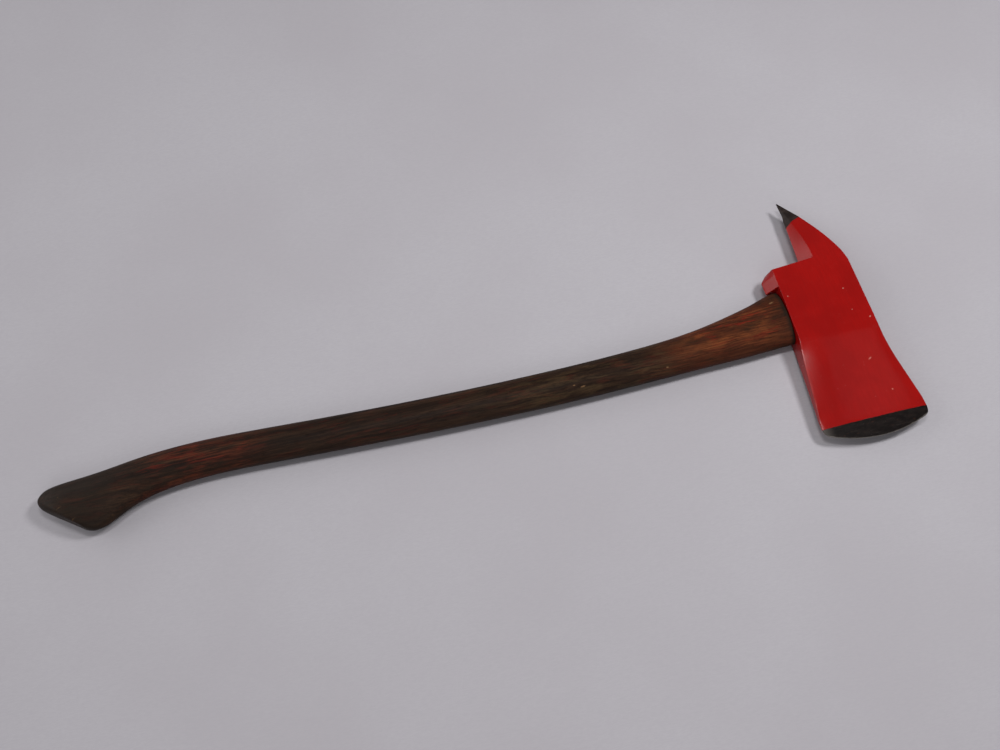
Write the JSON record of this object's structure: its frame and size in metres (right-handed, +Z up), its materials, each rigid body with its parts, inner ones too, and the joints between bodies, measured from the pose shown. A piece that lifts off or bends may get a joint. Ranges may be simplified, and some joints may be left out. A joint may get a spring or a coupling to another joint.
{
  "type": "fire axe",
  "caption": "Pick-head fire axe: forged steel head with a flat cutting blade and a curved pick, wedged on a curved oval hickory handle.",
  "frame": {"origin": "under the centre of the eye, on the plane that the lower cheek of the head rests on", "axes": "+X along the handle towards the crown of the head, +Y from the blade towards the pick, +Z up through the cheeks"},
  "size_m": [0.9337, 0.3058, 0.029],
  "materials": {
    "head_enamel": "satin red enamel over forged steel, bare and dark at the cutting edge and at the tip of the pick",
    "hickory": "hickory, dark with age and handling, open grain, traces of old red paint",
    "wedge_wood": "aged hardwood wedge, sawn off flush",
    "wedge_steel": "dark steel wedge with light rust"
  },
  "bodies": {
    "root": {"axe_head": "head_enamel", "handle": "hickory", "kerf_wedge": "wedge_wood", "steel_wedge_upper": "wedge_steel", "steel_wedge_lower": "wedge_steel"}
  },
  "joints": []
}
